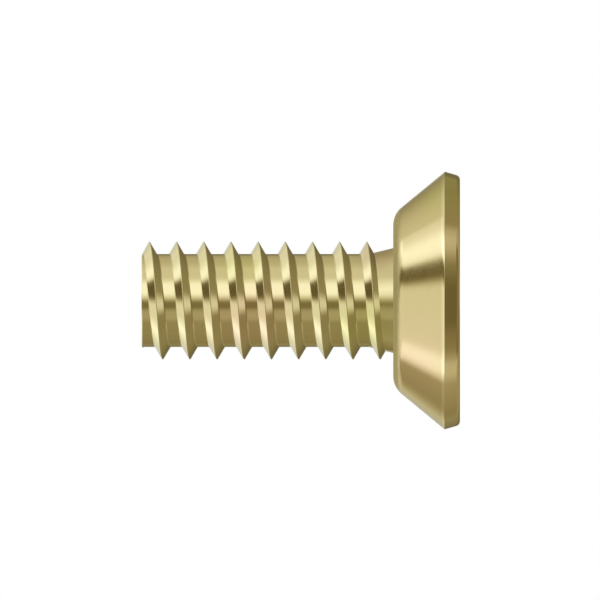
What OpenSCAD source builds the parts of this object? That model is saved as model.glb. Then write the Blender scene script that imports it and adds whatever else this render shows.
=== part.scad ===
// Machine screw with a countersunk head, a threaded shank and a cross recess.
// It stands on its head: the flat face lies on z = 0 around the origin, and the axis runs up +Z
// to the cut-off end. Sizes are in millimetres, and angles in degrees.

/* [Overall] */
// Length over everything, from the flat face to the cut-off end
screw_length = 12.4; // [9:0.1:20]

/* [Head] */
// Largest diameter, at the sharp edge between the cone and the edge band
head_d = 10.05; // [9.4:0.05:10.8]
// Distance from the flat face to the underside of the head
head_height = 2.6; // [2.4:0.05:2.9]
// Height of the edge band between the flat face and the cone
band_height = 0.6; // [0.5:0.01:0.7]
// Lean of the edge band, which narrows towards the flat face
band_draft = 16; // [5:1:25]
// Rounding between the edge band and the flat face
face_round = 0.2; // [0.1:0.01:0.3]
// Full angle of the seat cone
seat_angle = 79; // [74:1:84]
// Rounding between the seat cone and the underside
seat_round = 0.95; // [0.6:0.05:1.2]

/* [Neck] */
// Diameter where the shank meets the underside of the head
neck_d = 4.09; // [3.95:0.01:4.3]
// Length over which the neck tapers to the bottom of the thread groove
neck_length = 0.95; // [0.7:0.05:1.2]

/* [Thread] */
// Diameter over the crests
crest_d = 4.59; // [4.45:0.01:4.8]
// Diameter at the bottom of the groove
root_d = 3.62; // [3.5:0.01:3.7]
// Distance along the axis from one crest to the next
pitch = 1.058; // [0.95:0.001:1.2]
// Full angle between the two flanks of a ridge
flank_angle = 60; // [55:1:65]
// Width of the narrow flat along the crest
crest_flat = 0.02; // [0.01:0.01:0.1]
// Fillet where a flank runs into the groove
root_fillet = 0.06; // [0.04:0.01:0.12]
// Distance from the cut-off end back to the nearest crest on the +X side
first_crest = 0.3; // [0:0.05:0.9]
// Gap between the underside of the head and the point where the ridge has died away
runout_gap = 0.06; // [0:0.02:0.2]
// Turns that the ridge takes to grow from nothing to its full height
runout_turns = 0.4; // [0.3:0.05:0.8]
// Diameter of the flat on the cut-off end, inside its chamfer
end_d = 3.5; // [3.3:0.01:3.6]
// Slope of the chamfer that trims the start of the ridge, measured from the end's face
end_chamfer = 25; // [20:1:35]

/* [Cross recess] */
// Distance between the tips of two opposite wings at the flat face
wing_span = 5; // [4.6:0.05:5.3]
// Width of a wing at the flat face
wing_width = 1.47; // [1.3:0.01:1.6]
// Width of a wing at the bottom
wing_bottom_width = 0.82; // [0.7:0.01:1]
// Slope of a wing's outer edge, measured from the axis
wing_slope = 26.5; // [24:0.5:30]
// Diameter of the well at the bottom of the wings
well_d = 2.3; // [2.1:0.05:2.5]
// Diameter at the flat face of the cone that trims the corners between the wings
well_mouth_d = 2.9; // [2.6:0.05:3.2]
// Full angle of the well's pointed floor
floor_angle = 140; // [120:5:150]

/* [Hidden] */
brass = [0.78, 0.68, 0.42];
// a size above 12 makes true circles
$fn = 96;
turn_steps = 40;    // flat sides to one turn of the thread
fillet_steps = 2;   // flat sides to a root fillet
seat_steps = 6;     // flat sides to the rounding under the head
face_steps = 4;     // flat sides to the rounding at the flat face
past = 0.3;         // how far a cut or a buried surface runs on past the face it meets

head_r = head_d / 2;
neck_r = neck_d / 2;
crest_r = crest_d / 2;
root_r = root_d / 2;
end_r = end_d / 2;

// A rounding seen in section: points on a circle, from one direction to another.
function arc(centre, r, from, to, steps) =
    [for (s = [0 : steps])
        let (a = from + (to - from) * s / steps)
        centre + r * [cos(a), sin(a)]];

// Head, seen in section. The first number of a point is its distance from the axis.
face_sharp_r = head_r - band_height * tan(band_draft);
face_flat_r = face_sharp_r - face_round * tan((90 - band_draft) / 2);
cone_end_r = head_r - (head_height - band_height) * tan(seat_angle / 2);
seat_turn = 90 - seat_angle / 2;
underside_r = cone_end_r - seat_round * tan(seat_turn / 2);
neck_slope = (neck_r - root_r) / neck_length;

module head() {
    rotate_extrude()
        polygon(concat(
            [[0, 0]],
            arc([face_flat_r, face_round], face_round, -90, -band_draft, face_steps),
            [[head_r, band_height]],
            arc([underside_r, head_height - seat_round], seat_round,
                90 - seat_turn, 90, seat_steps),
            // the neck's cone runs on inside the shank, so that the two blend without a step
            [[neck_r, head_height],
             [root_r - neck_slope * past, head_height + neck_length + past],
             [0, head_height + neck_length + past]]));
}

// One ridge of the thread in section, from the head's side to the far side.
// The first number of a row is its distance along the axis from the middle of the crest, and the
// second its distance from the axis.
fillet_turn = 90 - flank_angle / 2;
flank_run = (crest_r - root_r) * tan(flank_angle / 2);
fillet_reach = crest_flat / 2 + flank_run + root_fillet * tan(fillet_turn / 2);
near_side = concat(
    arc([-fillet_reach, root_r + root_fillet], root_fillet, -90, -90 + fillet_turn, fillet_steps),
    [[-crest_flat / 2, crest_r]]);
rows = concat(
    near_side,
    [for (k = [len(near_side) - 1 : -1 : 0]) [-near_side[k][0], near_side[k][1]]]);
last_row = len(rows) - 1;

// The ridge winds up from a turn that is buried in the head to past the cut-off end.
buried_start = head_height - 1.4;
crest_top = screw_length - first_crest;
start_z = crest_top - pitch * floor((crest_top - buried_start) / pitch);
last_step = ceil((screw_length + fillet_reach + past - start_z) / pitch * turn_steps);
runout_low = head_height + runout_gap;

// Share of the full ridge height at a step of the helix.
function growth(i) =
    min(1, max(0, (start_z + i * pitch / turn_steps - runout_low) / (runout_turns * pitch)));

// A point of the thread's surface, at a step of the helix and a row of the ridge. The angle grows
// anticlockwise on the way up, which makes the thread right-handed.
function thread_point(i, k) =
    let (a = 360 * i / turn_steps,
         r = root_r + growth(i) * (rows[k][1] - root_r))
    [r * cos(a), r * sin(a), start_z + i * pitch / turn_steps + rows[k][0]];

function number(i, k) = i * (last_row + 1) + k;

// Shank and thread in one closed surface: the rows wind round as one strip, whose last row meets
// the first row of the next turn, and each end closes in a fan to a point on the axis.
module threaded_shank() {
    low = number(last_step + 1, 0);
    high = low + 1;
    last_turn = last_step - turn_steps;
    polyhedron(
        points = concat(
            [for (i = [0 : last_step]) for (k = [0 : last_row]) thread_point(i, k)],
            [[0, 0, start_z], [0, 0, start_z + last_step * pitch / turn_steps]]),
        faces = concat(
            [for (i = [0 : last_step - 1]) for (k = [0 : last_row - 1]) for (half = [0, 1])
                half == 0 ? [number(i, k), number(i, k + 1), number(i + 1, k + 1)]
                          : [number(i, k), number(i + 1, k + 1), number(i + 1, k)]],
            [for (i = [0 : last_turn - 1]) for (half = [0, 1])
                half == 0 ? [number(i, last_row), number(i + turn_steps, 0),
                             number(i + turn_steps + 1, 0)]
                          : [number(i, last_row), number(i + turn_steps + 1, 0),
                             number(i + 1, last_row)]],
            [for (i = [0 : turn_steps - 1]) [low, number(i, 0), number(i + 1, 0)]],
            [for (k = [0 : last_row - 1]) [low, number(0, k + 1), number(0, k)]],
            [[low, number(turn_steps, 0), number(0, last_row)]],
            [for (i = [last_turn : last_step - 1])
                [high, number(i + 1, last_row), number(i, last_row)]],
            [for (k = [0 : last_row - 1])
                [high, number(last_step, k), number(last_step, k + 1)]],
            [[high, number(last_turn, last_row), number(last_step, 0)]]));
}

// The blank is cut off square, straight through the thread, and a slight chamfer takes the sharp
// start of the ridge away.
module cut_off() {
    wide_r = crest_r + past;
    translate([0, 0, screw_length])
        rotate_extrude()
            polygon([[0, 0], [end_r, 0], [wide_r, -(wide_r - end_r) * tan(end_chamfer)],
                     [wide_r, 2 * (pitch + past)], [0, 2 * (pitch + past)]]);
}

// Cross recess, sunk into the flat face.
wing_depth = (wing_span - well_d) / 2 / tan(wing_slope);

// A slab whose sides lean in evenly as it goes deeper. It is drawn past the flat face on the same
// slope, and it is long enough to cross the whole recess.
module leaning_slab(mouth, bottom) {
    grow = (mouth - bottom) / wing_depth * past;
    rotate([90, 0, 0])
        linear_extrude(wing_span + 2 * past, center = true)
            polygon([[-(mouth + grow) / 2, -past], [(mouth + grow) / 2, -past],
                     [bottom / 2, wing_depth], [-bottom / 2, wing_depth]]);
}

module wing_pair() {
    intersection() {
        leaning_slab(wing_span, well_d);
        rotate([0, 0, 90]) leaning_slab(wing_width, wing_bottom_width);
    }
}

module well() {
    grow = (well_mouth_d - well_d) / wing_depth * past;
    rotate_extrude()
        polygon([[0, -past], [(well_mouth_d + grow) / 2, -past], [well_d / 2, wing_depth],
                 [0, wing_depth + well_d / 2 / tan(floor_angle / 2)]]);
}

module cross_recess() {
    wing_pair();
    rotate([0, 0, 90]) wing_pair();
    well();
}

module screw() {
    color(brass)
        difference() {
            union() {
                head();
                threaded_shank();
            }
            cut_off();
            cross_recess();
        }
}

screw();
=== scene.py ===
# %% [markdown]
# # A countersunk brass machine screw, seen square from the side
#
# The real thing is one small piece of brass: a head pressed from wire, and a thread rolled on the
# rest of it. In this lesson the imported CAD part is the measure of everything. Its plain solid is
# replaced by a finer mesh of the same form, the brass gets its lines, clouds and worn edges, and a
# small studio is built round it.

import math
from collections import namedtuple

import bmesh
import bpy
import numpy as np
from mathutils import Matrix, Vector


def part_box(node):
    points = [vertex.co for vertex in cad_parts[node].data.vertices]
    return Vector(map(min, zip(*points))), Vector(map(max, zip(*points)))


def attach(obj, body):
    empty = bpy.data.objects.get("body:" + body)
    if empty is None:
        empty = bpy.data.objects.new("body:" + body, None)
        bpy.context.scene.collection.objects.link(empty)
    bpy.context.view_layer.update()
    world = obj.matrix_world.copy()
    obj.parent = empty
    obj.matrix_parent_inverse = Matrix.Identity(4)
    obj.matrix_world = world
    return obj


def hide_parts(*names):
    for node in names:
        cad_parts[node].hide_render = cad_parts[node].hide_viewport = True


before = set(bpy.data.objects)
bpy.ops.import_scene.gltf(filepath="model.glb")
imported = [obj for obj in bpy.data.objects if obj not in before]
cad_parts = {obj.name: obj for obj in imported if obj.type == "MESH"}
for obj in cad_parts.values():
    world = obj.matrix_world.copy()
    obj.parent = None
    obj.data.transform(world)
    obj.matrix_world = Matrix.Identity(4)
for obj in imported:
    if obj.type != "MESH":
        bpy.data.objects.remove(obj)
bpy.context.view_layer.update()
low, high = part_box("screw")
print("the screw runs from", [round(v * 1000, 3) for v in low],
      "to", [round(v * 1000, 3) for v in high], "mm")

# %% [markdown]
# ## The sizes
#
# A maker works from a drawing. These are the drawing's sizes in millimetres, the same as in the
# part's source except for the head's radius. That one is 0.005 mm under the drawing's, so that this
# smooth circle stays inside the CAD part's, which has flat sides. All mesh work is done in
# millimetres, since the mesh tools like numbers near one, and the result is scaled to metres at the
# end.

# %% Sizes in millimetres
MM = 0.001
SCREW_LENGTH = 12.4
HEAD_R = 10.04 / 2
HEAD_HEIGHT = 2.6
BAND_HEIGHT = 0.6
BAND_DRAFT = math.radians(16)
FACE_ROUND = 0.2
SEAT_HALF_ANGLE = math.radians(79 / 2)
SEAT_ROUND = 0.95
NECK_R = 4.09 / 2
NECK_LENGTH = 0.95
CREST_R = 4.59 / 2
ROOT_R = 3.62 / 2
PITCH = 1.058
FLANK_HALF_ANGLE = math.radians(30)
CREST_FLAT = 0.02
ROOT_FILLET = 0.06
FIRST_CREST = 0.3
RUNOUT_GAP = 0.06
RUNOUT_TURNS = 0.4
END_R = 3.5 / 2
END_CHAMFER = math.radians(25)
WING_SPAN = 5.0
WING_WIDTH = 1.47
WING_BOTTOM_WIDTH = 0.82
WING_SLOPE = math.radians(26.5)
WELL_D = 2.3
WELL_MOUTH_D = 2.9
FLOOR_HALF_ANGLE = math.radians(70)
print(f"drawing: {SCREW_LENGTH} mm long, head {2 * HEAD_R:.2f} mm across, pitch {PITCH} mm")

# %% [markdown]
# ## The camera
#
# The picture was taken square to the axis and without perspective, so the camera is orthographic.
# The screw stands on its head here, because that is how it stays put, while the picture shows it
# lying with the head at the right. So the camera is rolled a quarter turn: its right is down, and
# its up is +X. The scale comes from the picture, where the crests are 27.18 pixels apart.

# %% Camera
PICTURE_SIZE = 600
PIXELS_PER_MM = 25.68
FACE_COLUMN = 459.97   # where the head's flat face stands in the picture
AXIS_ROW = 300.5       # where the axis lies in the picture
CAMERA_DISTANCE = 60   # millimetres; without perspective it only has to be outside the screw

camera_data = bpy.data.cameras.new("side_camera")
camera_data.type = "ORTHO"
camera_data.ortho_scale = PICTURE_SIZE / PIXELS_PER_MM * MM
camera_data.clip_start = MM
camera = bpy.data.objects.new("side_camera", camera_data)
bpy.context.scene.collection.objects.link(camera)
camera_right, camera_up, camera_back = Vector((0, 0, -1)), Vector((1, 0, 0)), Vector((0, -1, 0))
roll = Matrix((camera_right, camera_up, camera_back)).transposed().to_4x4()
centre_height = (FACE_COLUMN - PICTURE_SIZE / 2) / PIXELS_PER_MM
centre_side = (AXIS_ROW - PICTURE_SIZE / 2) / PIXELS_PER_MM
camera_place = Vector((centre_side, -CAMERA_DISTANCE, centre_height)) * MM
camera.matrix_world = Matrix.Translation(camera_place) @ roll
bpy.context.scene.camera = camera
print(f"camera looks along +Y at height {centre_height:.3f} mm")

# %% [markdown]
# ## Mesh helpers
#
# Two kinds of surface make the screw: turned ones, whose section goes round the axis, and the
# thread, whose section also climbs. Both could come from the Screw modifier. Writing the rings one
# by one gives the same faces and keeps full control of where each ring lies. That matters for the
# shading: where a straight stretch meets a rounding, a ring close beside the joint keeps the
# stretch looking straight, just as a support loop does when one models by hand.

# %% Sections
SUPPORT = 0.05         # how far along a straight stretch its support rings lie
QUARTER = math.pi / 2  # a quarter turn


def arc(cx, cy, r, start, end, steps):
    """Points on a circle in section, from one direction to another, in radians."""
    turns = [start + (end - start) * s / steps for s in range(steps + 1)]
    return [(cx + r * math.cos(t), cy + r * math.sin(t)) for t in turns]


def joined(*stretches):
    """One section from several, with two support points on the straight way between them."""
    section = list(stretches[0])
    for stretch in stretches[1:]:
        (ar, az), (br, bz) = section[-1], stretch[0]
        for share in (SUPPORT, 1 - SUPPORT):
            section.append((ar + (br - ar) * share, az + (bz - az) * share))
        section += stretch
    return section


print("a rounding of four steps has", len(arc(0, 0, 1, 0, QUARTER, 4)), "points")

# %% [markdown]
# A turned surface is made of rings, one for each point of its section, with a disc at each end. The
# number of sides is high enough that the outline looks round at any size this small thing is shown.

# %% Turned surfaces
SIDES = 240


def new_object(name, vertices, faces):
    mesh = bpy.data.meshes.new(name)
    mesh.from_pydata(vertices, [], faces)
    mesh.update()
    made = bpy.data.objects.new(name, mesh)
    bpy.context.scene.collection.objects.link(made)
    return made


def turned(name, section, sides=SIDES):
    """A closed surface from a section that starts and ends on a flat disc."""
    round_the_axis = [2 * math.pi * i / sides for i in range(sides)]
    vertices = [(r * math.cos(a), r * math.sin(a), z) for r, z in section for a in round_the_axis]
    faces = [tuple(reversed(range(sides)))]
    for k in range(len(section) - 1):
        a, b = k * sides, (k + 1) * sides
        for i in range(sides):
            j = (i + 1) % sides
            faces.append((a + i, a + j, b + j, b + i))
    last = (len(section) - 1) * sides
    faces.append(tuple(range(last, last + sides)))
    return new_object(name, vertices, faces)


print("turned surfaces have", SIDES, "sides")

# %% [markdown]
# ## The head
#
# The head of the real screw is pressed into a die, which leaves a flat face, a low edge band that
# leans in a little, a sharp largest diameter, the seat cone, and a wide rounding under the head
# where the brass did not quite fill the die. It is drawn as one section, from the flat face round
# to the neck. The neck's cone runs on inside the shank, so that the two meet without a step. The
# sharp edge gets a rounding too small for the part's source, because no tool leaves a perfect edge.

# %% Head
PAST = 0.3          # how far a cut or a buried surface runs on past the face it meets
EDGE_ROUND = 0.008  # rounding of the edge at the largest diameter
FACE_INNER = 0.6    # share of the flat face's radius at which its innermost ring lies
FACE_STEPS = 12
EDGE_STEPS = 8
SEAT_STEPS = 16

face_sharp_r = HEAD_R - BAND_HEIGHT * math.tan(BAND_DRAFT)
face_flat_r = face_sharp_r - FACE_ROUND * math.tan((QUARTER - BAND_DRAFT) / 2)
cone_end_r = HEAD_R - (HEAD_HEIGHT - BAND_HEIGHT) * math.tan(SEAT_HALF_ANGLE)
seat_turn = QUARTER - SEAT_HALF_ANGLE
underside_r = cone_end_r - SEAT_ROUND * math.tan(seat_turn / 2)
neck_slope = (NECK_R - ROOT_R) / NECK_LENGTH

# the sharp edge: a small circle that touches the band and the cone
edge_reach = EDGE_ROUND * math.tan((BAND_DRAFT + SEAT_HALF_ANGLE) / 2)
edge_centre_r = HEAD_R - edge_reach * math.sin(BAND_DRAFT) - EDGE_ROUND * math.cos(BAND_DRAFT)
edge_centre_z = BAND_HEIGHT - edge_reach * math.cos(BAND_DRAFT) + EDGE_ROUND * math.sin(BAND_DRAFT)

head_section = joined(
    [(face_flat_r * FACE_INNER, 0)],
    arc(face_flat_r, FACE_ROUND, FACE_ROUND, -QUARTER, -BAND_DRAFT, FACE_STEPS),
    arc(edge_centre_r, edge_centre_z, EDGE_ROUND, -BAND_DRAFT, SEAT_HALF_ANGLE, EDGE_STEPS),
    arc(underside_r, HEAD_HEIGHT - SEAT_ROUND, SEAT_ROUND, QUARTER - seat_turn, QUARTER,
        SEAT_STEPS),
    [(NECK_R, HEAD_HEIGHT), (ROOT_R - neck_slope * PAST, HEAD_HEIGHT + NECK_LENGTH + PAST)])
head = turned("head_blank", head_section)
print("head section has", len(head_section), "points")

# %% [markdown]
# ## The thread
#
# A rolled thread is one ridge that winds up the shank. Its section is a foot fillet, a straight
# flank, a slightly round crest, and the same again on the other side. Each point of that section
# becomes a row of the mesh that climbs one pitch in a turn.

# %% Ridge in section
FOOT_STEPS = 8
CREST_STEPS = 12


def ridge_rows():
    """One ridge in section, as (distance along the axis from the crest's middle, radius)."""
    foot_turn = QUARTER - FLANK_HALF_ANGLE
    reach = (CREST_FLAT / 2 + (CREST_R - ROOT_R) * math.tan(FLANK_HALF_ANGLE)
             + ROOT_FILLET * math.tan(foot_turn / 2))
    foot = arc(-reach, ROOT_R + ROOT_FILLET, ROOT_FILLET, -QUARTER, foot_turn - QUARTER,
               FOOT_STEPS)
    # a circle that touches both flanks and whose top is the crest
    tip = CREST_R + CREST_FLAT / 2 / math.tan(FLANK_HALF_ANGLE)
    tip_r = (tip - CREST_R) / (1 / math.sin(FLANK_HALF_ANGLE) - 1)
    crest = arc(0, CREST_R - tip_r, tip_r, math.pi - FLANK_HALF_ANGLE, FLANK_HALF_ANGLE,
                CREST_STEPS)
    far_foot = [(-x, r) for x, r in reversed(foot)]
    half_groove = (-PITCH / 2, ROOT_R)
    rows = joined([half_groove], foot, crest, far_foot, [(PITCH / 2, ROOT_R)])
    return rows[1:-1]  # the two ends were there only to guide the support rings


ROWS = ridge_rows()
print("ridge section has", len(ROWS), "rows")

# %% [markdown]
# The last row of one turn meets the first row of the next, so shank and ridge are one closed skin.
# Near the head the ridge grows out of the neck over less than half a turn, as the rolling dies leave
# it. The first turn is buried in the head, and the last one stands past the end that is cut later.

# %% Threaded shank
TURN_STEPS = 120
BURIED = 1.4  # how deep in the head the first turn may start

crest_top = SCREW_LENGTH - FIRST_CREST
start_z = crest_top - PITCH * math.floor((crest_top - (HEAD_HEIGHT - BURIED)) / PITCH)
last_step = math.ceil((SCREW_LENGTH + PITCH / 2 + PAST - start_z) / PITCH * TURN_STEPS)


def thread_point(step, row):
    angle = 2 * math.pi * step / TURN_STEPS
    middle = start_z + PITCH * step / TURN_STEPS
    growth = (middle - HEAD_HEIGHT - RUNOUT_GAP) / (RUNOUT_TURNS * PITCH)
    growth = min(1.0, max(0.0, growth))
    r = ROOT_R + growth * (ROWS[row][1] - ROOT_R)
    return (r * math.cos(angle), r * math.sin(angle), middle + ROWS[row][0])


def threaded_shank():
    count = len(ROWS)
    last_row = count - 1
    vertices = [thread_point(i, k) for i in range(last_step + 1) for k in range(count)]
    low_point, high_point = len(vertices), len(vertices) + 1
    vertices += [(0, 0, start_z), (0, 0, start_z + PITCH * last_step / TURN_STEPS)]

    def number(i, k):
        return i * count + k

    faces = [(number(i, k), number(i + 1, k), number(i + 1, k + 1), number(i, k + 1))
             for i in range(last_step) for k in range(last_row)]
    last_turn = last_step - TURN_STEPS
    faces += [(number(i, last_row), number(i + 1, last_row),
               number(i + TURN_STEPS + 1, 0), number(i + TURN_STEPS, 0))
              for i in range(last_turn)]
    # each end closes in a fan to a point on the axis
    faces += [(low_point, number(i + 1, 0), number(i, 0)) for i in range(TURN_STEPS)]
    faces += [(low_point, number(0, k), number(0, k + 1)) for k in range(last_row)]
    faces += [(low_point, number(0, last_row), number(TURN_STEPS, 0))]
    faces += [(high_point, number(i, last_row), number(i + 1, last_row))
              for i in range(last_turn, last_step)]
    faces += [(high_point, number(last_step, k + 1), number(last_step, k))
              for k in range(last_row)]
    faces += [(high_point, number(last_step, 0), number(last_turn, last_row))]
    return new_object("threaded_shank", vertices, faces)


shank = threaded_shank()
print("thread:", round((last_step - TURN_STEPS) / TURN_STEPS, 1), "turns,",
      len(shank.data.polygons), "faces")

# %% [markdown]
# ## The cross recess and the cut end
#
# The recess is punched in by a cross-shaped tool whose wings lean in on two slopes, so each pair of
# wings is a block that narrows as it goes deeper. The far end of the screw is simply where the wire
# was cut, square through the thread, with a slight chamfer that takes off the sharp start of the
# ridge. Each of these is a plain solid that is taken away.

# %% Cutting solids
WELL_SIDES = 96
WELL_TIP_R = 0.02  # the well's point ends on a disc this small
CUTTER_RISE = 3    # how far the end's cutter reaches past the cut

wing_depth = (WING_SPAN - WELL_D) / 2 / math.tan(WING_SLOPE)
well_floor = wing_depth + WELL_D / 2 / math.tan(FLOOR_HALF_ANGLE)


def leaning_block(name, long_way):
    """One pair of wings, along X or along Y, drawn past the flat face on the same slopes."""
    more = PAST / wing_depth
    mouth = (WING_SPAN + (WING_SPAN - WELL_D) * more,
             WING_WIDTH + (WING_WIDTH - WING_BOTTOM_WIDTH) * more)
    bottom = (WELL_D, WING_BOTTOM_WIDTH)
    corners = [(-1, -1), (1, -1), (1, 1), (-1, 1)]
    vertices = []
    for size, z in ((mouth, -PAST), (bottom, wing_depth)):
        for cx, cy in corners:
            x, y = cx * size[0] / 2, cy * size[1] / 2
            vertices.append((x, y, z) if long_way == "X" else (-y, x, z))
    faces = [(3, 2, 1, 0), (4, 5, 6, 7), (0, 1, 5, 4), (1, 2, 6, 5), (2, 3, 7, 6), (3, 0, 4, 7)]
    return new_object(name, vertices, faces)


wings_x = leaning_block("wings_x", "X")
wings_y = leaning_block("wings_y", "Y")
well_grow = (WELL_MOUTH_D - WELL_D) / wing_depth * PAST
well = turned("well", [((WELL_MOUTH_D + well_grow) / 2, -PAST), (WELL_D / 2, wing_depth),
                       (WELL_TIP_R, well_floor)], sides=WELL_SIDES)
cut_r = CREST_R + PAST
chamfer_drop = (cut_r - END_R) * math.tan(END_CHAMFER)
cut_end = turned("cut_end", [(END_R, SCREW_LENGTH), (cut_r, SCREW_LENGTH - chamfer_drop),
                             (cut_r, SCREW_LENGTH + CUTTER_RISE)])
print(f"recess wings reach {wing_depth:.2f} mm deep")

# %% [markdown]
# ## One skin
#
# Head and shank are joined and the cutters taken away with exact booleans, so that the piece is one
# closed skin with no faces buried inside it. The edge where the recess breaks the flat face is then
# rounded a little, as the punch leaves it.

# %% Join and cut
MOUTH_ROUND = 0.035    # rounding of the edge where the recess breaks the flat face
MOUTH_STEPS = 4
WELD_DISTANCE = 0.0002
ON_FACE = 0.001        # how near the flat face a point counts as lying on it
STEEP = 0.7            # a wall's normal has a smaller part along the axis than this


def combined(target, tool, operation):
    change = target.modifiers.new(operation.lower(), "BOOLEAN")
    change.operation = operation
    change.solver = "EXACT"
    change.object = tool
    bpy.context.view_layer.update()
    made = target.evaluated_get(bpy.context.evaluated_depsgraph_get())
    result = bpy.data.meshes.new_from_object(made)
    target.modifiers.clear()
    target.data = result
    bpy.data.objects.remove(tool)


combined(shank, cut_end, "DIFFERENCE")
combined(head, shank, "UNION")
for cutter in (wings_x, wings_y, well):
    combined(head, cutter, "DIFFERENCE")

skin = bmesh.new()
skin.from_mesh(head.data)
bmesh.ops.remove_doubles(skin, verts=skin.verts, dist=WELD_DISTANCE)
bmesh.ops.recalc_face_normals(skin, faces=skin.faces)


def breaks_the_flat_face(edge):
    on_face = all(abs(v.co.z) < ON_FACE for v in edge.verts)
    return on_face and any(abs(f.normal.z) < STEEP for f in edge.link_faces)


mouth_edges = [e for e in skin.edges if breaks_the_flat_face(e)]
mouth = bmesh.ops.bevel(skin, geom=mouth_edges, offset=MOUTH_ROUND, segments=MOUTH_STEPS,
                        profile=0.5, affect="EDGES", clamp_overlap=True)
mouth_faces = set(mouth["faces"])
print("recess mouth:", len(mouth_edges), "edges rounded into", len(mouth_faces), "faces")

# %% [markdown]
# ## Smooth and crisp
#
# Everything that turns gently is shaded smooth, and an edge that turns by more than twelve degrees
# stays crisp. That is less than the fourteen degrees at which the neck's cone meets the groove, and
# more than one step of any rounding. The tiny rounding of the recess's mouth turns faster, so it is
# named by its faces. It is smooth in itself and kept apart from the flat walls beside it, because a
# large flat face that shares its shading with a small round one looks bent.

# %% Shade
CRISP = math.radians(12)
open_edges = [e for e in skin.edges if len(e.link_faces) != 2]
for face in skin.faces:
    face.smooth = True
for edge in skin.edges:
    in_mouth = [f in mouth_faces for f in edge.link_faces]
    gentle = edge.calc_face_angle(0) < CRISP
    edge.smooth = all(in_mouth) or (gentle and not any(in_mouth))
print("skin:", len(skin.verts), "points,", len(skin.faces), "faces,", len(open_edges),
      "open edges,", f"{skin.calc_volume():.1f} mm3")
skin.to_mesh(head.data)
skin.free()
head.data.transform(Matrix.Scale(MM, 4))
screw = head
screw.name = screw.data.name = "brass_screw"

# %% [markdown]
# ## What brass shows up close
#
# Six things break up a plain sheen. Fine lines run round the axis where the die and the rolling
# plates dragged along the metal. The cut end is smeared and torn. Handling and air leave soft
# clouds, and here and there a larger stain. Edges that rub against other screws in the box are
# brighter and smoother, and their brighter tint is also a painted highlight along the head's edge.
# And where no tool pressed the metal it keeps a dull skin, whose darker tint is painted shade under
# the head. Each effect is a node group, built once, and the finishes below use it with their own
# values. The groups read only the place on the screw, so the marks stay put from every side.

# %% Node helpers
AXIS_GUARD = 0.001  # keeps a division by the distance from the axis safe


def node(tree, kind, **settings):
    made = tree.nodes.new(kind)
    for key, value in settings.items():
        setattr(made, key, value)
    return made


def feed(tree, socket, value):
    """Put a number, or a link from another node, into a socket."""
    if isinstance(value, (int, float)):
        socket.default_value = value
    else:
        tree.links.new(value, socket)


def maths(tree, operation, a, b=None, clamp=False):
    made = node(tree, "ShaderNodeMath", operation=operation, use_clamp=clamp)
    feed(tree, made.inputs[0], a)
    if b is not None:
        feed(tree, made.inputs[1], b)
    return made.outputs[0]


def noise(tree, where, scale, detail, distortion=0.0):
    made = node(tree, "ShaderNodeTexNoise")
    feed(tree, made.inputs["Vector"], where)
    feed(tree, made.inputs["Scale"], scale)
    feed(tree, made.inputs["Detail"], detail)
    feed(tree, made.inputs["Distortion"], distortion)
    return made.outputs["Fac"]


def new_group(name, inputs, outputs):
    """An empty node group with number sockets, and its input and output nodes."""
    tree = bpy.data.node_groups.new(name, "ShaderNodeTree")
    for label, value in inputs.items():
        socket = tree.interface.new_socket(label, in_out="INPUT", socket_type="NodeSocketFloat")
        socket.default_value = value
    for label in outputs:
        tree.interface.new_socket(label, in_out="OUTPUT", socket_type="NodeSocketFloat")
    given = node(tree, "NodeGroupInput").outputs
    return tree, given, node(tree, "NodeGroupOutput").inputs


def place(tree):
    """The place on the screw in millimetres: a vector, its three parts, distance from the axis."""
    scaled = node(tree, "ShaderNodeVectorMath", operation="SCALE")
    tree.links.new(node(tree, "ShaderNodeTexCoord").outputs["Object"], scaled.inputs[0])
    scaled.inputs["Scale"].default_value = 1 / MM
    split = node(tree, "ShaderNodeSeparateXYZ")
    tree.links.new(scaled.outputs[0], split.inputs[0])
    x, y, z = split.outputs
    squares = maths(tree, "ADD", maths(tree, "MULTIPLY", x, x), maths(tree, "MULTIPLY", y, y))
    r = maths(tree, "MAXIMUM", maths(tree, "SQRT", squares), AXIS_GUARD)
    return scaled.outputs[0], x, y, z, r


print("helpers ready:", [f.__name__ for f in (node, feed, maths, noise, new_group, place)])

# %% [markdown]
# ### Drawn lines
#
# Metal that was pressed or rolled keeps fine lines in the direction it slid. An image of scratches
# would do, but noise stretched round the axis needs no picture and never repeats. The height along
# the axis and the distance from it are added up, so that the flat faces get their rings too.

# %% Group: drawn lines
def drawn_lines_group():
    """Fine lines round the axis. Lines sets how many there are to a millimetre, and Waver how
    soon one fades into the next on the way round."""
    tree, given, out = new_group("drawn_lines", {"Lines": 9.0, "Waver": 1.5}, ["Height"])
    _, x, y, z, r = place(tree)
    join = node(tree, "ShaderNodeCombineXYZ")
    for socket, side in zip(join.inputs, (x, y)):
        feed(tree, socket, maths(tree, "MULTIPLY", maths(tree, "DIVIDE", side, r), given["Waver"]))
    feed(tree, join.inputs[2], maths(tree, "MULTIPLY", maths(tree, "ADD", z, r), given["Lines"]))
    feed(tree, out["Height"], noise(tree, join.outputs[0], scale=1.0, detail=3.0))
    return tree


drawn_lines = drawn_lines_group()
print(drawn_lines.name, "has", len(drawn_lines.nodes), "nodes")

# %% [markdown]
# ### Shear marks
#
# A shear first slides into the wire and smears it, and then the rest tears off at once. So the mask
# is a straight border across the cut that noise makes ragged, with lines on one side of it and
# grain on the other.

# %% Group: shear marks
SPACING_ALONG = 0.7  # how quickly the smeared lines change in the blade's direction
RAGGED = 1.6         # how far the border of the torn part wanders, in millimetres
TORN_SLOPE = 1.5     # how quickly the smeared part gives way to the torn one
GRAIN_DEPTH = 2.5    # depth of the torn part's grain beside that of the lines


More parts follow.
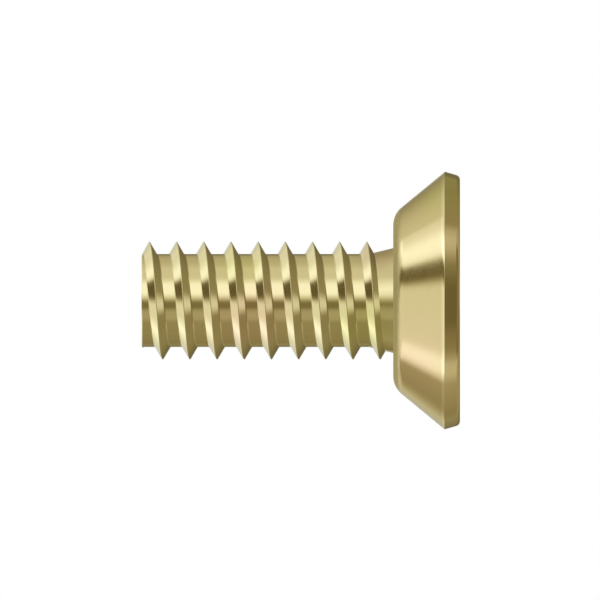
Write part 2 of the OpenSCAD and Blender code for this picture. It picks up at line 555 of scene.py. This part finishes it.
def shear_marks_group():
    """The cut end. On the side where the blade entered the metal is smeared in fine parallel
    lines, and from Tear, in millimetres along the cut, it tore off and is grainy."""
    tree, given, out = new_group("shear_marks", {"Lines": 7.0, "Tear": 0.3}, ["Height", "Mask"])
    where, x, y, _, _ = place(tree)
    join = node(tree, "ShaderNodeCombineXYZ")
    feed(tree, join.inputs[0], maths(tree, "MULTIPLY", x, given["Lines"]))
    feed(tree, join.inputs[1], maths(tree, "MULTIPLY", y, SPACING_ALONG))
    smear = noise(tree, join.outputs[0], scale=1.0, detail=3.0)
    ragged = maths(tree, "MULTIPLY", noise(tree, where, scale=1.6, detail=1.0), RAGGED)
    past_tear = maths(tree, "SUBTRACT", maths(tree, "ADD", y, ragged),
                      maths(tree, "ADD", given["Tear"], RAGGED / 2))
    torn = maths(tree, "ADD", maths(tree, "MULTIPLY", past_tear, TORN_SLOPE), 0.5, clamp=True)
    grain = maths(tree, "MULTIPLY", noise(tree, where, scale=9.0, detail=4.0),
                  maths(tree, "MULTIPLY", torn, GRAIN_DEPTH))
    feed(tree, out["Height"], maths(tree, "ADD", smear, grain))
    feed(tree, out["Mask"], torn)
    return tree


shear_marks = shear_marks_group()
print(shear_marks.name, "has", len(shear_marks.nodes), "nodes")

# %% [markdown]
# ### Tarnish clouds
#
# Brass never keeps one even colour. Wide, soft noise gives the clouds, and a second, fine noise the
# specks, which change only how rough the skin is.

# %% Group: tarnish clouds
def tarnish_group():
    """Soft clouds in the brass's skin, Size millimetres wide, and fine specks between them."""
    tree, given, out = new_group("tarnish_clouds", {"Size": 2.0, "Contrast": 2.0},
                                 ["Mask", "Speckle"])
    where = place(tree)[0]
    cloud = noise(tree, where, scale=maths(tree, "DIVIDE", 1.0, given["Size"]), detail=2.0,
                  distortion=0.4)
    centred = maths(tree, "MULTIPLY", maths(tree, "SUBTRACT", cloud, 0.5), given["Contrast"])
    feed(tree, out["Mask"], maths(tree, "ADD", centred, 0.5, clamp=True))
    feed(tree, out["Speckle"], noise(tree, where, scale=7.0, detail=4.0))
    return tree


tarnish_clouds = tarnish_group()
print(tarnish_clouds.name, "has", len(tarnish_clouds.nodes), "nodes")

# %% [markdown]
# ### Rubbed edges and painted edge highlight
#
# The sharp edge of the head is what touches the other screws first. A mask by curvature would also
# find every crest of the thread, which lies back from the head's edge and rubs less. So this one
# measures the distance to that edge, on the cone's side of it, where the worn strip shows. Its
# brighter tint there is partly that wear and partly a painted highlight along the edge.

# %% Group: rubbed edges and painted edge highlight
EDGE_CLEAR = 0.01  # the strip starts this far above the edge


def edge_wear_and_highlight_group():
    """1 on the head's largest diameter, on its cone side, fading to 0 within Reach millimetres.
    It marks the worn strip, whose brighter tint is also a painted highlight along the edge.
    """
    tree, given, out = new_group("edge_wear_and_highlight", {"Reach": 0.2}, ["Mask"])
    _, _, _, z, r = place(tree)
    side = maths(tree, "SUBTRACT", r, HEAD_R)
    rise = maths(tree, "SUBTRACT", z, BAND_HEIGHT)
    away = maths(tree, "SQRT", maths(tree, "ADD", maths(tree, "MULTIPLY", side, side),
                                     maths(tree, "MULTIPLY", rise, rise)))
    edge = maths(tree, "SUBTRACT", 1.0, maths(tree, "DIVIDE", away, given["Reach"]), clamp=True)
    on_cone = maths(tree, "GREATER_THAN", z, BAND_HEIGHT + EDGE_CLEAR)
    feed(tree, out["Mask"], maths(tree, "MULTIPLY", edge, on_cone))
    return tree


edge_wear_and_highlight = edge_wear_and_highlight_group()
print(edge_wear_and_highlight.name, "has", len(edge_wear_and_highlight.nodes), "nodes")

# %% [markdown]
# ### Unpressed skin
#
# The rounding under the head is where the brass stopped short of the die, so nothing polished it.
# The mask follows the height, and a little noise keeps its border from being a perfect ring. It
# makes the skin rougher, and its darker tint is painted shade under the head.

# %% Group: unpressed skin and painted shade under the head
BORDER_WANDER = 0.06  # how far the border wanders up and down, in millimetres


def dull_skin_and_shade_group():
    """1 on the rounding under the head, where the metal did not reach the die and where shade is
    painted. It fades in between the heights Start and End, in millimetres."""
    tree, given, out = new_group("dull_skin_and_under_head_shade", {"Start": 2.26, "End": 2.5}, ["Mask"])
    where, _, _, z, _ = place(tree)
    centred = maths(tree, "SUBTRACT", noise(tree, where, scale=3.0, detail=3.0), 0.5)
    uneven = maths(tree, "MULTIPLY", centred, BORDER_WANDER)
    fade = node(tree, "ShaderNodeMapRange", interpolation_type="SMOOTHSTEP")
    feed(tree, fade.inputs["Value"], maths(tree, "ADD", z, uneven))
    feed(tree, fade.inputs["From Min"], given["Start"])
    feed(tree, fade.inputs["From Max"], given["End"])
    feed(tree, out["Mask"], fade.outputs["Result"])
    return tree


dull_skin_and_under_head_shade = dull_skin_and_shade_group()
print(dull_skin_and_under_head_shade.name, "has", len(dull_skin_and_under_head_shade.nodes), "nodes")

# %% [markdown]
# ### Stained patch
#
# A stain sits where a finger or a drop was, so it has a place of its own. The group takes that place
# and a radius, and noise gives the stain an uneven border.

# %% Group: stained patch
def patch_group():
    """A soft stain about Radius millimetres wide round one place on the screw."""
    tree, given, out = new_group("stained_patch", {"X": 0.0, "Y": 0.0, "Z": 0.0, "Radius": 1.0},
                                 ["Mask"])
    where = place(tree)[0]
    centre = node(tree, "ShaderNodeCombineXYZ")
    for socket, label in zip(centre.inputs, "XYZ"):
        feed(tree, socket, given[label])
    gap = node(tree, "ShaderNodeVectorMath", operation="DISTANCE")
    tree.links.new(where, gap.inputs[0])
    tree.links.new(centre.outputs[0], gap.inputs[1])
    away = maths(tree, "DIVIDE", gap.outputs["Value"], given["Radius"])
    uneven = maths(tree, "SUBTRACT", noise(tree, where, scale=0.8, detail=2.0), 0.5)
    fade = node(tree, "ShaderNodeMapRange", interpolation_type="SMOOTHSTEP")
    feed(tree, fade.inputs["Value"], maths(tree, "ADD", away, uneven))
    for label, value in (("From Min", 0.3), ("From Max", 1.3), ("To Min", 1.0), ("To Max", 0.0)):
        fade.inputs[label].default_value = value
    feed(tree, out["Mask"], fade.outputs["Result"])
    return tree


stained_patch = patch_group()
print("groups:", sorted(g.name for g in bpy.data.node_groups))

# %% [markdown]
# ## The finishes
#
# One metal, three histories. The head took its surface from the die, the shank from the rolling
# plates, and the cut end from the shear that parted the wire. So there are three finishes that
# share the brass's tints and differ in their marks and in how dull they look. The stains sit at
# fixed places on head and shank: greener where the air got at the metal, redder where it was
# touched, and browner where oil dried on the neck.

# %% Brass tints
PRESSED_TINT = (0.80, 0.69, 0.405, 1)
ROLLED_TINT = (0.815, 0.735, 0.435, 1)
SHEARED_TINT = (0.78, 0.67, 0.39, 1)
GREENER = (0.76, 0.72, 0.34, 1)
REDDER = (0.85, 0.66, 0.44, 1)
BROWNER = (0.64, 0.52, 0.32, 1)
# RUBBED_HIGHLIGHT_TINT is partly worn brass and partly a painted highlight along the head's edge
RUBBED_HIGHLIGHT_TINT = (0.95, 0.85, 0.54, 1)
# UNDER_HEAD_SHADE_TINT is painted shade: a darker tint on the rounding under the head
UNDER_HEAD_SHADE_TINT = (0.50, 0.43, 0.20, 1)
RIM_TINT = (0.55, 0.54, 0.48, 1)  # how much of its shine brass keeps where one looks along it

# place in millimetres, radius, tint, strength
HEAD_STAINS = [((4.2, -2.4, 0.3), 1.6, GREENER, 0.9), ((-2.5, -3.0, 1.5), 1.6, REDDER, 0.6)]
SHANK_STAINS = [((1.3, -1.4, 8.6), 1.0, GREENER, 0.7), ((-1.1, -1.7, 3.7), 1.3, GREENER, 0.9),
                ((-0.9, -1.8, 8.1), 1.7, REDDER, 0.6), ((1.7, -1.1, 3.0), 0.9, BROWNER, 0.8)]
print(len(HEAD_STAINS), "stains on the head and", len(SHANK_STAINS), "on the shank")

# %% [markdown]
# One function builds all three finishes. It mixes the tints first, then adds up how rough each
# effect makes the skin, and last turns the tool marks into a bump. It is less than a thousandth of
# a millimetre deep, and about a hundredth on the cut end.

# %% Brass finishes
CLOUD_TINT = 0.25     # how strongly a cloud takes the greener tint
# the rubbed tint below also paints a highlight along the head's edge
EDGE_HIGHLIGHT_GAIN = 1.5     # makes the rubbed tint reach its full strength before the edge itself
SPECKLE_ROUGH = 0.08  # how much rougher or smoother the specks are
CLOUD_ROUGH = 0.03
RUBBED_SMOOTH = 0.04
UNPRESSED_ROUGH = 0.45
TORN_ROUGH = 0.15


def brass(name, tint, marks, mark_values, mark_height, roughness, cloud_size, stains=(),
          has_dull_skin_and_shade=False):
    """A brass material: marks is the group of its tool marks, mark_height their depth in mm."""
    material = bpy.data.materials.new(name)
    material.use_nodes = True
    tree = material.node_tree
    shader = tree.nodes["Principled BSDF"]
    shader.inputs["Metallic"].default_value = 1.0
    shader.inputs["Specular Tint"].default_value = RIM_TINT

    def use(group, values):
        made = node(tree, "ShaderNodeGroup", node_tree=group)
        for label, value in values.items():
            made.inputs[label].default_value = value
        return made.outputs

    def mixed(below, above, factor):
        mix = node(tree, "ShaderNodeMix", data_type="RGBA")
        if isinstance(below, tuple):
            mix.inputs["A"].default_value = below
        else:
            tree.links.new(below, mix.inputs["A"])
        mix.inputs["B"].default_value = above
        tree.links.new(factor, mix.inputs["Factor"])
        return mix.outputs["Result"]

    cloud = use(tarnish_clouds, {"Size": cloud_size})
    wear_and_highlight = use(edge_wear_and_highlight, {})["Mask"]
    mark = use(marks, mark_values)
    colour = mixed(tint, GREENER, maths(tree, "MULTIPLY", cloud["Mask"], CLOUD_TINT))
    for (x, y, z), radius, stain, strength in stains:
        patch = use(stained_patch, {"X": x, "Y": y, "Z": z, "Radius": radius})["Mask"]
        colour = mixed(colour, stain, maths(tree, "MULTIPLY", patch, strength))
    # brighter tint at the head's edge: worn brass, and a painted highlight along it
    colour = mixed(colour, RUBBED_HIGHLIGHT_TINT, maths(tree, "MULTIPLY", wear_and_highlight, EDGE_HIGHLIGHT_GAIN, clamp=True))

    dull = maths(tree, "MULTIPLY", maths(tree, "SUBTRACT", cloud["Speckle"], 0.5), SPECKLE_ROUGH)
    dull = maths(tree, "ADD", dull, maths(tree, "MULTIPLY", cloud["Mask"], CLOUD_ROUGH))
    dull = maths(tree, "SUBTRACT", dull, maths(tree, "MULTIPLY", wear_and_highlight, RUBBED_SMOOTH))
    # on the rounding under the head the skin is rougher, and its darker tint is painted shade
    if has_dull_skin_and_shade:
        dull_skin_and_shade_mask = use(dull_skin_and_under_head_shade, {})["Mask"]
        colour = mixed(colour, UNDER_HEAD_SHADE_TINT, dull_skin_and_shade_mask)
        dull = maths(tree, "ADD", dull, maths(tree, "MULTIPLY", dull_skin_and_shade_mask, UNPRESSED_ROUGH))
    if marks is shear_marks:
        dull = maths(tree, "ADD", dull, maths(tree, "MULTIPLY", mark["Mask"], TORN_ROUGH))
    feed(tree, shader.inputs["Base Color"], colour)
    feed(tree, shader.inputs["Roughness"], maths(tree, "ADD", dull, roughness))

    bump = node(tree, "ShaderNodeBump")
    bump.inputs["Distance"].default_value = mark_height * MM
    feed(tree, bump.inputs["Height"], mark["Height"])
    feed(tree, shader.inputs["Normal"], bump.outputs["Normal"])
    return material


pressed_brass = brass("pressed_brass", PRESSED_TINT, drawn_lines, {"Lines": 7.0, "Waver": 1.6},
                      mark_height=0.0006, roughness=0.1, cloud_size=2.2, stains=HEAD_STAINS,
                      has_dull_skin_and_shade=True)
rolled_brass = brass("rolled_brass", ROLLED_TINT, drawn_lines, {"Lines": 9.0, "Waver": 1.2},
                     mark_height=0.0003, roughness=0.09, cloud_size=1.3, stains=SHANK_STAINS)
sheared_brass = brass("sheared_brass", SHEARED_TINT, shear_marks, {},
                      mark_height=0.012, roughness=0.22, cloud_size=0.8)
print("finishes:", [f.name for f in (pressed_brass, rolled_brass, sheared_brass)])

# %% [markdown]
# Each face takes its finish by its height: head below the underside, shank above it, and the cut end
# at the very top. Then the skin is hung on the body it rides on, and the CAD solid is hidden.

# %% Dress the skin
END_NEAR = 0.001      # faces this close to the cut belong to it
SHANK_CLEAR = 0.0005  # faces on the underside itself still belong to the head

screw.data.materials.clear()
for finish in (pressed_brass, rolled_brass, sheared_brass):
    screw.data.materials.append(finish)
counts = [0, 0, 0]
for face in screw.data.polygons:
    z = face.center.z / MM
    at_end = z > SCREW_LENGTH - END_NEAR
    face.material_index = 2 if at_end else 1 if z > HEAD_HEIGHT + SHANK_CLEAR else 0
    counts[face.material_index] += 1
print("faces of pressed, rolled and sheared brass:", counts)

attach(screw, "root")
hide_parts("screw")

# %% [markdown]
# ## The light tent
#
# Polished metal has no look of its own: it shows what stands round it. A photographer puts small
# metal things in a tent of white cloth, with brighter cloth where a lamp stands behind it and dark
# strips between, so that round shapes get bands of light and dark. Here the tent is a sphere round
# the screw whose cloth glows by itself. It is only there for reflections, so that it throws no
# shadow and the camera looks through it.
#
# A place on the tent has two angles. Over goes from straight in front of the screw (0), over the
# top (90) and down behind it (180), and below it (negative). Lean is to the side: plus is the
# camera's up. Each strip of cloth runs over the screw, and a few stations on the way say where its
# middle leans, how wide and how soft it is, and how bright. The two bright strips make the
# highlights on head and thread, and the dark gap between them makes the dark line across the cone.

# %% Plan of the strips
Strip = namedtuple("Strip", "middle half_width softness brightness")

UPPER_STRIP = Strip(
    middle=[(-110, 16), (-80, 43), (-47, 56), (0, 28), (30, 21), (60, 20),
            (95, 30), (112, 31), (126, 8), (150, 9), (172, 4)],
    half_width=[(-50, 10), (0, 21), (95, 3), (126, 6), (150, 8), (172, 4)],
    softness=[(-50, 11), (0, 25), (30, 50), (80, 3.5), (126, 6)],
    brightness=[(-125, 0.35), (-105, 0.5), (-60, 0.48), (0, 1.2), (128, 1.35), (150, 1.25),
                (172, 1.3)])
LOWER_STRIP = Strip(
    middle=[(-110, -30), (-80, -49), (-47, -62), (0, -38), (30, -29),
            (97, -33), (108, -33), (112, -31.5), (119, -22), (130, -19), (160, -19)],
    half_width=[(-50, 14), (0, 13), (97, 4.5), (119, 1.8), (137, 7)],
    softness=[(-50, 14), (0, 18), (97, 3.5), (108, 8), (119, 7), (137, 17)],
    brightness=[(-125, 0.45), (-105, 0.4), (-85, 0.45), (-58, 0.63), (0, 0.46), (30, 0.45),
                (97, 1.2), (108, 1.1), (119, 1.15), (137, 1.7), (155, 1.1), (175, 0.8)])
DARK_GAP = Strip(
    middle=[(-32, -2), (0, -12), (30, -1.5), (83, 19), (121, 1)],
    half_width=[(-32, 24), (0, 10), (83, 7), (121, 5.5)],
    softness=[(-32, 24), (0, 13), (83, 6.5), (121, 3.5)],
    brightness=[(-115, 0.33), (-100, 0.25), (-70, 0.28), (-32, 0.18), (0, 0.24), (30, 0.12),
                (83, 0.16), (121, 0.14), (150, 0.6)])
print("stations:", sum(len(line) for line in UPPER_STRIP + LOWER_STRIP + DARK_GAP))

# %% [markdown]
# Behind the strips hangs the plain cloth. It has a wall on either side and a roof between them, and
# the hems where they meet run along the middles of the two bright strips. Towards the camera's up
# and down the walls close in a crown and a foot. One low lamp, behind and below the screw, lights
# the sides of the ridges that face the head.

# %% Plan of the walls
UPPER_WALL = [(-180, 0.61), (-165, 0.39), (-150, 0.33), (-60, 0.33), (-20, 0.62), (0, 0.77),
              (120, 0.74), (137, 0.7), (150, 0.64), (165, 0.58), (180, 0.61)]
LOWER_WALL = [(-180, 0.32), (-60, 0.45), (0, 0.34), (120, 0.42), (180, 0.32)]
ROOF = [(-180, 0.45), (-150, 0.28), (-60, 0.21), (0, 0.4), (30, 0.37), (80, 0.84), (130, 1),
        (150, 1.6), (165, 1.5), (180, 0.45)]
HEM_SOFTNESS = [(0, 1), (120, 7), (150, 15)]
CROWN_LIGHT = 0.75
FOOT_LIGHT = 0.32
POLE_EDGE = 83            # lean at which the walls have half given way to crown and foot
POLE_SOFTNESS = 35
LOW_LAMP_LIGHT = 0.9
LOW_LAMP_OVER = -122
LOW_LAMP_LEAN = 2
LOW_LAMP_SIZE = 4         # half of its width in lean, in degrees
LOW_LAMP_SOFTNESS = 6
LOW_LAMP_NARROWING = 0.5  # a degree of over counts as this much lean, which makes it longer
print("plain cloth from", min(v for _, v in ROOF + UPPER_WALL + LOWER_WALL),
      "to", max(v for _, v in ROOF + UPPER_WALL + LOWER_WALL))

# %% [markdown]
# The plan is read by a function that takes whole arrays of places at once. Each layer is laid over
# the one before it: walls, crown and foot, roof, dark gap, the two bright strips, and the low lamp.

# %% Brightness of the cloth
def along(over, stations):
    places, values = zip(*stations)
    return np.interp(over, places, values)


def soft_step(value, edge, softness):
    t = np.clip((value - edge) / softness + 0.5, 0, 1)
    return t * t * (3 - 2 * t)


def between(lean, lower, upper, softness):
    """1 between two edges and 0 outside them."""
    return soft_step(lean, lower, softness) * (1 - soft_step(lean, upper, softness))


def tent_brightness(over, lean):
    """How bright the cloth is at each place: 1 is plain white."""
    upper_hem, lower_hem = along(over, UPPER_STRIP.middle), along(over, LOWER_STRIP.middle)
    high_side = lean > (upper_hem + lower_hem) / 2
    light = np.where(high_side, along(over, UPPER_WALL), along(over, LOWER_WALL))
    for pole_light, towards_pole in ((CROWN_LIGHT, lean), (FOOT_LIGHT, -lean)):
        light = light + (pole_light - light) * soft_step(towards_pole, POLE_EDGE, POLE_SOFTNESS)
    in_roof = between(lean, lower_hem, upper_hem, along(over, HEM_SOFTNESS))
    light = light + (along(over, ROOF) - light) * in_roof
    for strip in (DARK_GAP, UPPER_STRIP, LOWER_STRIP):
        middle, half = along(over, strip.middle), along(over, strip.half_width)
        on_strip = between(lean, middle - half, middle + half, along(over, strip.softness))
        light = light + (along(over, strip.brightness) - light) * on_strip
    away = np.hypot(lean - LOW_LAMP_LEAN, (over - LOW_LAMP_OVER) * LOW_LAMP_NARROWING)
    in_lamp = 1 - soft_step(away, LOW_LAMP_SIZE, LOW_LAMP_SOFTNESS)
    return light + (LOW_LAMP_LIGHT - light) * in_lamp


print("straight above the screw the cloth has brightness", round(float(tent_brightness(90, 0)), 2))

# %% [markdown]
# Cloth with no lamp behind it isn't grey. It gets its light from the rest of the tent, and from the
# warm things in it, so the darker a place is, the warmer its colour. This gives the deep olive
# tones between the bright bands.

# %% Cloth colours
FULL_LIGHT = 1.2   # cloth this bright is white
GREEN_FALL = 0.12  # how quickly green falls behind red as the cloth gets darker
BLUE_FALL = 0.55


def cloth_colours(light):
    share = light / FULL_LIGHT
    return np.stack([light, light * share ** GREEN_FALL, light * share ** BLUE_FALL,
                     np.ones_like(light)], 1)


print("cloth of a tenth of the light:", cloth_colours(np.array([0.12])).round(3).tolist())

# %% [markdown]
# The tent is a sphere of points in over and lean. Each point carries its own colour, which the
# cloth's material gives off. It doesn't light the screw's surroundings, and only mirror-like rays
# see it.

# %% Tent
TENT_RADIUS = 1000
OVER_STEPS = 180
LEAN_STEPS = 240
LEAN_LIMIT = 89.9  # just short of the poles, where all the points would fall together

over_angle = np.repeat(np.linspace(-180, 180, OVER_STEPS + 1)[:-1], LEAN_STEPS + 1)
lean_angle = np.tile(np.linspace(-LEAN_LIMIT, LEAN_LIMIT, LEAN_STEPS + 1), OVER_STEPS)
over_turn, lean_turn = np.radians(over_angle), np.radians(lean_angle)
tent_points = TENT_RADIUS * MM * np.stack(
    [np.sin(lean_turn), -np.cos(lean_turn) * np.cos(over_turn),
     np.cos(lean_turn) * np.sin(over_turn)], 1)
tent_points[:, 2] += centre_height * MM
tent_faces = []
for a in range(OVER_STEPS):
    here, there = a * (LEAN_STEPS + 1), (a + 1) % OVER_STEPS * (LEAN_STEPS + 1)
    tent_faces += [(here + b, here + b + 1, there + b + 1, there + b) for b in range(LEAN_STEPS)]
tent = new_object("light_tent", tent_points.tolist(), tent_faces)
glow = tent.data.attributes.new("glow", "FLOAT_COLOR", "POINT")
cloth_light = tent_brightness(over_angle, lean_angle)
glow.data.foreach_set("color", cloth_colours(cloth_light).astype(np.float32).ravel())

cloth = bpy.data.materials.new("tent_cloth")
cloth.use_nodes = True
tree = cloth.node_tree
tree.nodes.clear()
shine = node(tree, "ShaderNodeEmission")
glow_read = node(tree, "ShaderNodeAttribute", attribute_name="glow")
tree.links.new(glow_read.outputs["Color"], shine.inputs["Color"])
tree.links.new(shine.outputs[0], node(tree, "ShaderNodeOutputMaterial").inputs["Surface"])
cloth.cycles.emission_sampling = "NONE"
tent.data.materials.append(cloth)
for ray in ("camera", "diffuse", "shadow", "transmission", "volume_scatter"):
    setattr(tent, "visible_" + ray, False)
screw.visible_glossy = False  # its ridges show the tent and not one another
print(f"tent of {len(tent_faces)} faces, mean brightness {cloth_light.mean():.2f}")

# %% [markdown]
# ## Table
#
# The screw stands on a pale table, a plain disc far wider than anything the camera sees. The metal
# would mirror it, but here the tent is all that the metal shows, so reflections leave the table out.

# %% Table
FLOOR_RADIUS = 900
FLOOR_SIDES = 64
PALE_GREY = (0.8, 0.8, 0.8, 1)

rim_turns = [2 * math.pi * i / FLOOR_SIDES for i in range(FLOOR_SIDES)]
rim = [(FLOOR_RADIUS * MM * math.cos(a), FLOOR_RADIUS * MM * math.sin(a), 0) for a in rim_turns]
floor = new_object("floor", rim, [tuple(range(FLOOR_SIDES))])
table = bpy.data.materials.new("pale_table")
table.use_nodes = True
paint = table.node_tree.nodes["Principled BSDF"].inputs
paint["Base Color"].default_value = PALE_GREY
paint["Roughness"].default_value = 1.0
paint["Specular IOR Level"].default_value = 0.0
floor.data.materials.append(table)
floor.visible_glossy = False
print("table", 2 * FLOOR_RADIUS, "mm across")

# %% [markdown]
# ## White studio
#
# The world is plain white to the camera, like the paper behind a small thing in a catalogue. To the
# table it gives a softer level of light, so that the lamp still shows. The two are told apart by the
# kind of ray that asks.

# %% White studio
FILL_LIGHT = 0.75
WHITE_LIGHT = 1.0

world = bpy.data.worlds.new("white_studio")
bpy.context.scene.world = world
world.use_nodes = True
tree = world.node_tree
tree.nodes.clear()
path = node(tree, "ShaderNodeLightPath").outputs
seen = maths(tree, "MAXIMUM", path["Is Camera Ray"], path["Is Glossy Ray"])
seen = maths(tree, "MAXIMUM", seen, path["Is Transmission Ray"])
fill = node(tree, "ShaderNodeBackground")
white = node(tree, "ShaderNodeBackground")
fill.inputs["Color"].default_value = (1, 1, 1, 1)
white.inputs["Color"].default_value = (1, 1, 1, 1)
fill.inputs["Strength"].default_value = FILL_LIGHT
white.inputs["Strength"].default_value = WHITE_LIGHT
pick = node(tree, "ShaderNodeMixShader")
tree.links.new(seen, pick.inputs[0])
tree.links.new(fill.outputs[0], pick.inputs[1])
tree.links.new(white.outputs[0], pick.inputs[2])
tree.links.new(pick.outputs[0], node(tree, "ShaderNodeOutputWorld").inputs["Surface"])
print("world gives", FILL_LIGHT, "of light and shows", WHITE_LIGHT)

# %% [markdown]
# ## Lamp
#
# One broad lamp, as soft as a large window, throws the screw's shadow. A sun lamp with a wide angle
# does this without a place of its own to look after.

# %% Lamp
LAMP_ENERGY = 1.85
LAMP_WIDTH = math.radians(30)
LAMP_TURN = (math.radians(32), math.radians(-18), 0)

lamp_data = bpy.data.lights.new("window_lamp", "SUN")
lamp_data.energy = LAMP_ENERGY
lamp_data.angle = LAMP_WIDTH
lamp = bpy.data.objects.new("window_lamp", lamp_data)
lamp.rotation_euler = LAMP_TURN
lamp.visible_glossy = False
bpy.context.scene.collection.objects.link(lamp)
print(f"lamp of strength {LAMP_ENERGY}, {math.degrees(LAMP_WIDTH):.0f} degrees wide")

# %% [markdown]
# ## Finish
#
# The picture is shown as it is, with no film look. The finer skin may not be larger.

# %% Finish
bpy.context.scene.view_settings.view_transform = "Standard"
